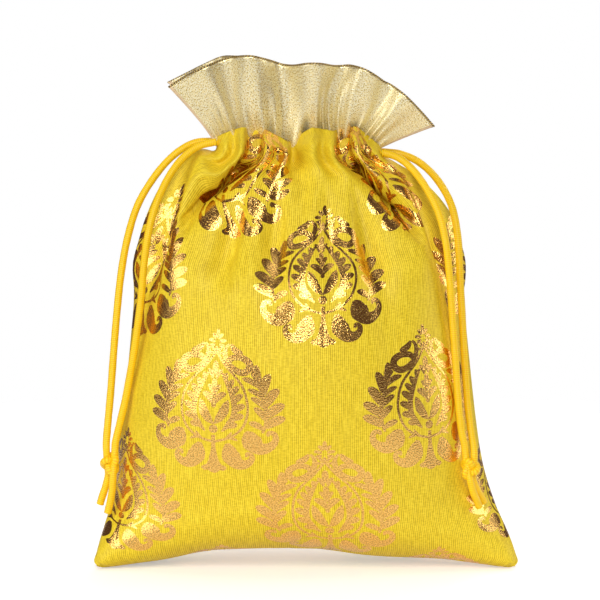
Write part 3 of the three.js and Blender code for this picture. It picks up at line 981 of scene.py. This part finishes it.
def frill(name, side, top_points, seed):
    """A thin closed sheet on the frill's grid, with backing cloth at its two ends, and a stitched hem."""
    grid = frill_grid(side, top_points, seed)
    normal = -side * np.cross(np.gradient(grid, axis=1), np.gradient(grid, axis=0))
    normal /= np.linalg.norm(normal, axis=2)[..., None]
    outer = grid.reshape(-1, 3)
    inner = (grid - normal * frill_thickness).reshape(-1, 3)
    total = len(outer)
    place = np.arange(total).reshape(frill_levels + 1, frill_columns + 1)
    quads = np.dstack([place[:-1, :-1], place[:-1, 1:], place[1:, 1:], place[1:, :-1]]).reshape(-1, 4)
    ring = np.concatenate([place[0, :-1], place[:-1, -1], place[-1, :0:-1], place[:0:-1, 0]])
    following = np.roll(ring, -1)
    rim = np.column_stack([ring, ring + total, following + total, following])
    if side > 0:
        quads = quads[:, ::-1]
        rim = rim[:, ::-1]
    faces = np.vstack([quads, quads[:, ::-1] + total, rim])
    share, rise = np.linspace(0, 1, frill_columns + 1), np.linspace(0, 1, frill_levels + 1)
    flat_u, flat_v = np.meshgrid(
        (share - 0.5) * frill_width / flat_uv_unit, rise * frill_height / flat_uv_unit)
    flat = np.column_stack([flat_u.ravel(), flat_v.ravel()])
    flat = np.vstack([flat, flat])
    piece = mesh_piece(name, np.vstack([outer, inner]), faces.tolist(), flat[faces.ravel()])
    middle_u = flat[faces].mean(axis=1)[:, 0]
    piece.data.polygons.foreach_set("material_index", (np.abs(middle_u) > plain_end).astype(np.int32))
    hem = tube(name + "_hem", grid[-1, ::2], hem_diameter, sides=8)
    print(name, len(faces), "faces")
    return piece, hem


front_frill, front_hem = frill("front_frill_cloth", -1, frill_front_top, 5)
back_frill, back_hem = frill("back_frill_cloth", 1, frill_back_top, 8)

# %% [markdown]
# Materials. The weave is one shared node group: it takes the flat cloth's own coordinates and gives a rib
# and a grain value, so the cloth, the foil pressed onto it and the gold cloth all show threads that follow
# the folds. A picture of the weave would do it too, but noise never repeats and stays sharp close up.

# %% Shared weave
def fill_socket(tree, socket, value):
    """A value is a number or colour for the socket, or another node's output to join to it."""
    if isinstance(value, bpy.types.NodeSocket):
        tree.links.new(value, socket)
    else:
        socket.default_value = value


def new_node(tree, kind, x, y, **values):
    """A node at a place in the tree, with values for its sockets."""
    node = tree.nodes.new(kind)
    node.location = (x, y)
    for socket, value in values.items():
        fill_socket(tree, node.inputs[socket.replace("_", " ")], value)
    return node


def math_node(tree, operation, x, y, *values):
    node = new_node(tree, "ShaderNodeMath", x, y)
    node.operation = operation
    for socket, value in zip(node.inputs, values):
        fill_socket(tree, socket, value)
    return node.outputs["Value"]


def weave_group():
    """Threads of a woven cloth: upright ribs made uneven by a noise, crossed by a finer noise."""
    ribs_per_unit, rib_share = 125, 0.16
    tree = bpy.data.node_groups.new("weave", "ShaderNodeTree")
    tree.interface.new_socket("Vector", in_out="INPUT", socket_type="NodeSocketVector")
    tree.interface.new_socket("Rib", in_out="OUTPUT", socket_type="NodeSocketFloat")
    tree.interface.new_socket("Grain", in_out="OUTPUT", socket_type="NodeSocketFloat")
    place = new_node(tree, "NodeGroupInput", -1000, 0).outputs["Vector"]
    noises = []
    for scale, y in (((150, 14, 1), 200), ((60, 170, 1), 0), ((150, 150, 1), -200)):
        stretch = new_node(tree, "ShaderNodeMapping", -800, y, Scale=scale, Vector=place)
        noise = new_node(
            tree, "ShaderNodeTexNoise", -600, y, Scale=1, Detail=1.5, Vector=stretch.outputs["Vector"])
        noises.append(noise.outputs["Fac"])
    warp_noise, weft_noise, grain_noise = noises
    split = new_node(tree, "ShaderNodeSeparateXYZ", -800, 420, Vector=place)
    angle = math_node(tree, "MULTIPLY", -400, 420, split.outputs["X"], ribs_per_unit * 2 * math.pi)
    uneven = math_node(tree, "ADD", -240, 420, angle, warp_noise)
    wave = math_node(tree, "SINE", -80, 420, uneven)
    mix = new_node(tree, "ShaderNodeMix", -120, 120, Factor=0.5, A=warp_noise, B=weft_noise)
    rib = math_node(tree, "MULTIPLY_ADD", 80, 420, wave, rib_share, mix.outputs["Result"])
    new_node(tree, "NodeGroupOutput", 600, 0, Rib=rib, Grain=grain_noise)
    return tree


weave = weave_group()
print("weave group with", len(weave.nodes), "nodes")

# %% Parts of a material
def new_material(name, base, roughness, metallic=0.0):
    """A material with its node tree and its shader."""
    material = bpy.data.materials.new(name)
    material.use_nodes = True
    tree = material.node_tree
    shader = tree.nodes["Principled BSDF"]
    shader.inputs["Base Color"].default_value = (*base, 1)
    shader.inputs["Roughness"].default_value = roughness
    shader.inputs["Metallic"].default_value = metallic
    return material, tree, shader


def add_weave(tree, fineness=1.0):
    """The outputs of the shared weave on this piece's flat cloth: Rib and Grain."""
    uv = new_node(tree, "ShaderNodeUVMap", -1400, 0)
    uv.uv_map = "flat"
    finer = new_node(tree, "ShaderNodeVectorMath", -1200, 0)
    finer.operation = "SCALE"
    finer.inputs["Scale"].default_value = fineness
    tree.links.new(uv.outputs["UV"], finer.inputs["Vector"])
    threads = new_node(tree, "ShaderNodeGroup", -1000, 0)
    threads.node_tree = weave
    tree.links.new(finer.outputs["Vector"], threads.inputs["Vector"])
    return threads.outputs


def add_ramp(tree, value, stops, y):
    """A colour for each value, blended between the stops."""
    ramp = new_node(tree, "ShaderNodeValToRGB", -700, y, Fac=value)
    points = ramp.color_ramp.elements
    for point, (position, color) in zip(points, (stops[0], stops[-1])):
        point.position = position
        point.color = (*color, 1)
    for position, color in stops[1:-1]:
        points.new(position).color = (*color, 1)
    return ramp.outputs["Color"]


def add_tones(tree, shader, value, stops):
    tree.links.new(add_ramp(tree, value, stops, 100), shader.inputs["Base Color"])


def add_bump(tree, shader, height, strength, distance):
    bump = new_node(tree, "ShaderNodeBump", -300, -400, Strength=strength, Distance=distance, Height=height)
    tree.links.new(bump.outputs["Normal"], shader.inputs["Normal"])

# %% [markdown]
# The printed cloth is art silk: yellow threads with darker gaps between them. The foil is pressed onto
# those threads, so it is metal with a grain, broken through to the cloth in a few specks. Plain colours
# would look like plastic; the weave's ramps and a little bump make them cloth.

# %% Silk, foil and backing
silk_bump, foil_bump, lame_bump = (0.35, 0.00012), (0.6, 0.00028), (0.55, 0.00027)
yellow, tree, shader = new_material("yellow_silk", (0.84, 0.62, 0.02), 0.52)
silk_tones = [(0.3, (0.58, 0.39, 0.008)), (0.48, (0.83, 0.61, 0.015)), (0.72, (0.96, 0.76, 0.05))]
rib = add_weave(tree)["Rib"]
add_tones(tree, shader, rib, silk_tones)
shader.inputs["Specular IOR Level"].default_value = 0.3
add_bump(tree, shader, rib, *silk_bump)

foil, tree, shader = new_material("pressed_foil", (0.85, 0.5, 0.12), 0.21, 1.0)
foil_tones = [(0.34, (0.58, 0.31, 0.08)), (0.5, (0.85, 0.5, 0.12)), (0.66, (0.97, 0.66, 0.2))]
grain = add_weave(tree, 1.15)["Grain"]
whole = add_ramp(tree, grain, [(0.24, (0, 0, 0)), (0.3, (1, 1, 1))], -150)
gold = add_ramp(tree, grain, foil_tones, 150)
shown = new_node(tree, "ShaderNodeMix", -350, 150)
shown.data_type = "RGBA"
shown.inputs["A"].default_value = (0.72, 0.48, 0.02, 1)
tree.links.new(whole, shown.inputs["Factor"])
tree.links.new(gold, shown.inputs["B"])
tree.links.new(shown.outputs["Result"], shader.inputs["Base Color"])
tree.links.new(whole, shader.inputs["Metallic"])
add_bump(tree, shader, grain, *foil_bump)


def plain_weave(name, thread, gap, roughness):
    """An unprinted cloth, with its threads a little lighter than the gaps between them."""
    material, tree, shader = new_material(name, thread, roughness)
    rib = add_weave(tree)["Rib"]
    add_tones(tree, shader, rib, [(0.3, gap), (0.65, thread)])
    add_bump(tree, shader, rib, *silk_bump)
    return material


cloth_back = plain_weave("silk_back", (0.76, 0.51, 0.06), (0.56, 0.35, 0.03), 0.8)
backing = plain_weave("beige_backing", (0.8, 0.62, 0.38), (0.6, 0.44, 0.24), 0.7)
print("cloth finishes:", yellow.name, foil.name, cloth_back.name, backing.name)

# %% [markdown]
# The frill is lame, a cloth with flat metal threads: partly metal, with bright and dark specks. The cords
# are covered in satin thread laid round them, and the hem is a row of dark stitches. Both are waves along
# a tube. On the cords the wave is yellow on the ridges and orange in the grooves, and that orange is painted
# shade.

# %% Gold cloth, satin and thread
lame, tree, shader = new_material("lame_weave", (0.97, 0.82, 0.36), 0.36, 0.62)
lame_tones = [(0.36, (0.46, 0.33, 0.07)), (0.48, (0.99, 0.84, 0.38)), (0.6, (1.0, 0.98, 0.78))]
grain = add_weave(tree, 1.25)["Grain"]
add_tones(tree, shader, grain, lame_tones)
add_bump(tree, shader, grain, *lame_bump)


def along_tube(tree, turns):
    """A wave along a tube, from 0 to 1, which leans as it goes round."""
    uv = new_node(tree, "ShaderNodeUVMap", -1200, 0)
    uv.uv_map = "flat"
    split = new_node(tree, "ShaderNodeSeparateXYZ", -1000, 0, Vector=uv.outputs["UV"])
    lean = math_node(tree, "MULTIPLY_ADD", -820, 0, split.outputs["Y"], turns, split.outputs["X"])
    angle = math_node(tree, "MULTIPLY", -660, 0, lean, 2 * math.pi)
    wave = math_node(tree, "SINE", -500, 0, angle)
    return math_node(tree, "MULTIPLY_ADD", -340, 0, wave, 0.5, 0.5)


satin, tree, shader = new_material("satin_braid", (1.0, 0.48, 0.006), 0.34)
cover_ribs_and_shade = along_tube(tree, 13)
# Painted shade: the ramp's orange end darkens the grooves between the wound threads; its yellow end is the
# satin's own colour.
add_tones(tree, shader, cover_ribs_and_shade, [(0.0, (0.97, 0.49, 0.004)), (0.7, (1.0, 0.72, 0.014))])
shader.inputs["Specular IOR Level"].default_value = 0.35
add_bump(tree, shader, cover_ribs_and_shade, 0.4, 0.00015)

thread, tree, shader = new_material("hem_thread", (0.3, 0.2, 0.06), 0.4, 0.6)
add_tones(tree, shader, along_tube(tree, 8), [(0.3, (0.12, 0.08, 0.03)), (0.75, (0.62, 0.46, 0.18))])
print("gold cloth and cord finishes:", lame.name, satin.name, thread.name)

# %% Give each piece its finishes
for piece in (front_cloth, back_cloth):
    for material in (yellow, foil, cloth_back):
        piece.data.materials.append(material)
for piece in (front_frill, back_frill):
    piece.data.materials.append(lame)
    piece.data.materials.append(backing)
for piece in (front_hem, back_hem):
    piece.data.materials.append(thread)
for piece in (*cords.values(), left_knot, right_knot, left_run, right_run):
    piece.data.materials.append(satin)
print("materials:", [material.name for material in bpy.data.materials if material.users])

# %% [markdown]
# Each piece now takes the place of its CAD nodes and rides on the one body, since the bag has no joints.

def stands_for(piece, slot, *nodes):
    """Puts a piece on the body and hides the CAD nodes that it replaces; its slot argument is not used."""
    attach(piece, "root")
    if nodes:
        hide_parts(*nodes)


stands_for(front_cloth, "printed_cloth", "front_panel")
stands_for(back_cloth, "printed_cloth", "back_panel")
stands_for(front_frill, "gold_lame", "front_frill")
stands_for(back_frill, "gold_lame", "back_frill")
stands_for(front_hem, "gold_lame")
stands_for(back_hem, "gold_lame")
stands_for(left_run, "satin_cord", "left_cord_run")
stands_for(right_run, "satin_cord", "right_cord_run")
stands_for(left_knot, "satin_cord", "left_knot")
stands_for(right_knot, "satin_cord", "right_knot")
for name, piece in cords.items():
    hand, side = name.split("_")[:2]
    stands_for(piece, "satin_cord", f"{hand}_strand_{side}", f"{hand}_tail_{side}")
print("declared", len(cords), "cords and 4 sheets")

# %% [markdown]
# The set is a pale floor that fades out into a white backdrop, and a faint glow that only the camera and
# reflections see brings it up to white without lighting the bag. A large soft light stands at the left, a
# tall narrow one in front, one at the right, one overhead and one behind. The rest of the camera's side
# stays dark, so that the foil has something dark to show beside its bright patches. One big dome would be
# simpler, but foil would look flat in it.

# %% Floor
bpy.ops.object.select_all(action="DESELECT")
bpy.ops.mesh.primitive_plane_add(size=8)
floor = bpy.context.object
floor.name = "floor"
paper, tree, shader = new_material("floor_paper", (0.92, 0.92, 0.92), 0.9)
ray = new_node(tree, "ShaderNodeLightPath", -700, -300).outputs
seen = math_node(tree, "MULTIPLY_ADD", -500, -300, ray["Is Glossy Ray"], 0.5, ray["Is Camera Ray"])
tree.links.new(seen, shader.inputs["Emission Color"])
shader.inputs["Emission Strength"].default_value = 0.39
place = new_node(tree, "ShaderNodeTexCoord", -900, 0)
reach = new_node(tree, "ShaderNodeVectorMath", -700, 0)
reach.operation = "LENGTH"
tree.links.new(place.outputs["Object"], reach.inputs[0])
fade = new_node(
    tree, "ShaderNodeMapRange", -500, 0,
    Value=reach.outputs["Value"], From_Min=0.28, From_Max=0.5, To_Min=1, To_Max=0)
tree.links.new(fade.outputs["Result"], shader.inputs["Alpha"])
floor.data.materials.append(paper)
print("floor of", round(floor.dimensions.x, 1), "m, faded out at 0.5 m")

# %% Lights
light_distance = 1.5
lit_middle = Vector((0, 0, 0.1))


def soft_light(name, azimuth, elevation, size, watts):
    """A rectangular soft light that looks at the bag. Azimuth 0 is the camera's side and 90 the right."""
    a, e = math.radians(azimuth), math.radians(elevation)
    data = bpy.data.lights.new(name, "AREA")
    data.shape = "RECTANGLE"
    data.size, data.size_y = size
    data.energy = watts
    light = bpy.data.objects.new(name, data)
    bpy.context.collection.objects.link(light)
    away = Vector((math.sin(a) * math.cos(e), -math.cos(a) * math.cos(e), math.sin(e)))
    light.location = lit_middle + light_distance * away
    light.rotation_euler = (-away).to_track_quat("-Z", "Y").to_euler()


soft_light("left_light", -54, 15, (0.9, 0.9), 9.5)
soft_light("front_light", 2, 24, (0.26, 1.0), 12.5)
soft_light("right_light", 95, 12, (0.7, 0.9), 7)
soft_light("top_light", 180, 80, (1.2, 1.2), 7)
soft_light("back_light", 165, 38, (0.9, 0.9), 6)

# %% [markdown]
# The camera sees a white world, and the bag a dim rose one, which is what the dark parts of the foil pick
# up. A picture of a room would give livelier reflections, but it would be a file to read.

# %% World
world = bpy.data.worlds.new("studio")
bpy.context.scene.world = world
world.use_nodes = True
tree = world.node_tree
dim = tree.nodes["Background"]
dim.inputs["Color"].default_value = (1, 0.66, 0.85, 1)
dim.inputs["Strength"].default_value = 0.085
white = new_node(tree, "ShaderNodeBackground", 0, -200, Color=(1, 1, 1, 1), Strength=1)
ray = new_node(tree, "ShaderNodeLightPath", -200, 200)
choose = new_node(tree, "ShaderNodeMixShader", 200, 0, Fac=ray.outputs["Is Camera Ray"])
tree.links.new(dim.outputs["Background"], choose.inputs[1])
tree.links.new(white.outputs["Background"], choose.inputs[2])
tree.links.new(choose.outputs["Shader"], tree.nodes["World Output"].inputs["Surface"])
bpy.context.scene.view_settings.view_transform = "Standard"
print("world", world.name, "with view transform", bpy.context.scene.view_settings.view_transform)
